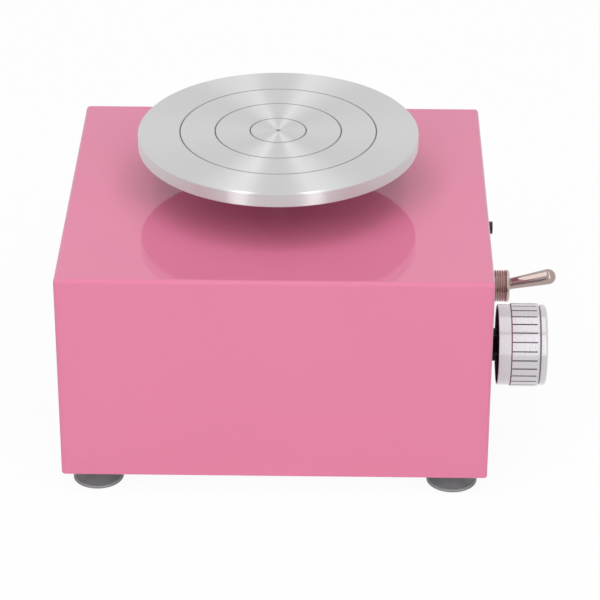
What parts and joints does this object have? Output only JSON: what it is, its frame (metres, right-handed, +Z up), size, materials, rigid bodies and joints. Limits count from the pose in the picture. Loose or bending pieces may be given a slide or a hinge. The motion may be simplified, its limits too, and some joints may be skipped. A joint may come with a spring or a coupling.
{
  "type": "pottery wheel",
  "caption": "Small bench pottery wheel: round aluminium wheel head turned by a motor in a pink steel case on suction feet, with speed knob, toggle switch and power jack on one side.",
  "frame": {"origin": "on the surface that the feet stand on, under the wheel head's axis, which is the middle of the case", "axes": "+Z up along the wheel head's axis, +X towards the side with the knob, switch and jack, +Y to the back"},
  "size_m": [0.1767, 0.14, 0.1094],
  "materials": {
    "pink_paint": "glossy two-coat paint over folded sheet steel",
    "wheel_aluminium": "lathe-turned, fine concentric tool marks",
    "knob_aluminium": "satin anodised, fluted",
    "hub_aluminium": "turned",
    "switch_nickel": "bright nickel plate",
    "foot_pvc": "smoky soft PVC, smooth",
    "black_plastic": "moulded, fine matte",
    "zinc_steel": "bright zinc plate",
    "motor_steel": "drawn and plated",
    "bearing_steel": "ground",
    "core_steel": "stamped laminations",
    "ferrite": "sintered",
    "copper": "enamelled",
    "brass": "stamped, tinned",
    "bronze": "sintered, oiled",
    "carbon": "pressed graphite",
    "white_nylon": "moulded",
    "phenolic": "moulded",
    "board_green": "solder mask",
    "terminal_green": "moulded",
    "capacitor_sleeve": "shrunk sleeve",
    "wire_red": "PVC insulation",
    "wire_blue": "PVC insulation",
    "wire_yellow": "PVC insulation"
  },
  "bodies": {
    "base": {"case_shell": "pink_paint", "base_tabs": "zinc_steel", "base_plate": "zinc_steel", "base_screws": "zinc_steel", "foot_front_left": "foot_pvc", "foot_front_right": "foot_pvc", "foot_rear_left": "foot_pvc", "foot_rear_right": "foot_pvc", "foot_studs": "zinc_steel", "foot_nuts": "zinc_steel", "motor_can": "motor_steel", "motor_screws": "zinc_steel", "motor_magnets": "ferrite", "motor_brushes": "carbon", "brush_holders": "phenolic", "motor_terminals": "brass", "motor_end_cap": "black_plastic", "rear_bush": "bronze", "bearing_outer_ring": "bearing_steel", "pot_bushing": "zinc_steel", "pot_cover": "zinc_steel", "pot_track": "phenolic", "pot_lugs": "brass", "pot_nut": "zinc_steel", "pot_washer": "zinc_steel", "toggle_bushing": "switch_nickel", "toggle_housing": "black_plastic", "toggle_contacts": "brass", "toggle_nuts": "switch_nickel", "jack_barrel": "black_plastic", "jack_terminals": "brass", "jack_nut": "switch_nickel", "circuit_board": "board_green", "board_standoffs": "white_nylon", "board_screws": "zinc_steel", "terminal_block": "terminal_green", "capacitor": "capacitor_sleeve", "heat_sink": "hub_aluminium", "power_transistor": "black_plastic", "pot_wires": "wire_yellow", "power_wires": "wire_red", "motor_wires": "wire_blue"},
    "turntable": {"wheel_head": "wheel_aluminium", "wheel_hub": "hub_aluminium", "hub_set_screw": "zinc_steel", "motor_shaft": "bearing_steel", "rotor_core": "core_steel", "rotor_windings": "copper", "commutator": "copper", "bearing_inner_ring": "bearing_steel"},
    "ball_cage": {"bearing_cage": "brass", "bearing_balls": "bearing_steel"},
    "switch_lever": {"toggle_lever": "switch_nickel", "toggle_plunger": "white_nylon"},
    "switch_rocker": {"toggle_rocker": "copper"},
    "speed_knob": {"knob_body": "knob_aluminium", "knob_core": "black_plastic", "knob_set_screw": "zinc_steel", "pot_shaft": "hub_aluminium", "pot_wiper": "phenolic"}
  },
  "joints": [
    {"name": "turntable_spin", "type": "hinge", "parent": "base", "child": "turntable", "pos_m": [0, 0, 0.086], "axis": [0, 0, 1], "continuous": true},
    {"name": "ball_cage_orbit", "type": "hinge", "parent": "base", "child": "ball_cage", "pos_m": [0, 0, 0.086], "axis": [0, 0, 1], "continuous": true},
    {"name": "switch_throw", "type": "hinge", "parent": "base", "child": "switch_lever", "pos_m": [0.081, 0, 0.047], "axis": [0, 1, 0], "range_deg": [0, 25.4]},
    {"name": "switch_rocker_tip", "type": "hinge", "parent": "base", "child": "switch_rocker", "pos_m": [0.0585, 0, 0.047], "axis": [0, 1, 0], "range_deg": [-24, 0]},
    {"name": "speed_turn", "type": "hinge", "parent": "base", "child": "speed_knob", "pos_m": [0.075, -0.043, 0.047], "axis": [-1, 0, 0], "range_deg": [0, 300]}
  ],
  "couplings": [
    {"joint": "ball_cage_orbit", "follows": "turntable_spin", "ratio": 0.40625},
    {"joint": "switch_rocker_tip", "follows": "switch_throw", "ratio": -0.787}
  ]
}
